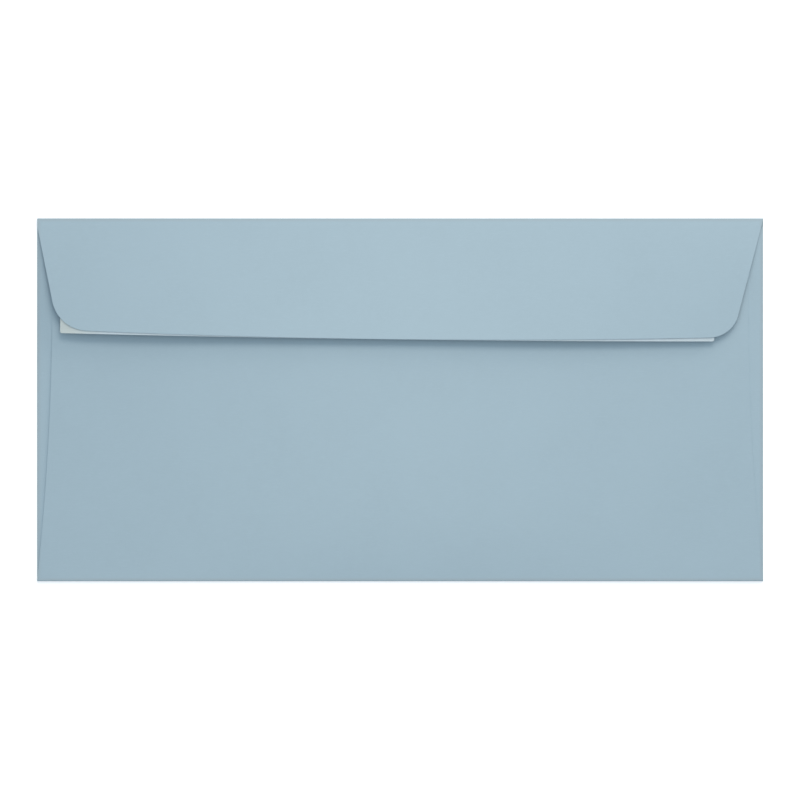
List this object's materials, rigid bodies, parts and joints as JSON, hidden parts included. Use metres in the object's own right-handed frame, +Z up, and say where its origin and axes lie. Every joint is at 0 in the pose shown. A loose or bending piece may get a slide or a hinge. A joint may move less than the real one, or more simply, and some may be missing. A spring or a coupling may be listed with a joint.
{
  "type": "envelope",
  "caption": "Plain pale blue long business envelope, flap folded down over the back but unsealed, its glue band still under a white peel-off liner that peeks out past the flap's corners",
  "frame": {"origin": "on the surface that the envelope lies on, under the middle of the folded rectangle", "axes": "+X along the long folds, to the right as seen on the back; +Y across them towards the flap's fold; +Z up out of the back, away from the address side"},
  "size_m": [0.22, 0.11, 0.003],
  "materials": {
    "envelope_paper": "matt, smooth uncoated paper dyed pale blue",
    "seam_glue": "dried clear paper glue",
    "seal_glue": "clear tacky band",
    "liner_paper": "smooth white release paper, slightly see-through"
  },
  "bodies": {
    "root": {"envelope_sheet": "envelope_paper", "seam_glue_left": "seam_glue", "seam_glue_right": "seam_glue", "seal_glue": "seal_glue", "release_liner": "liner_paper"}
  },
  "joints": []
}
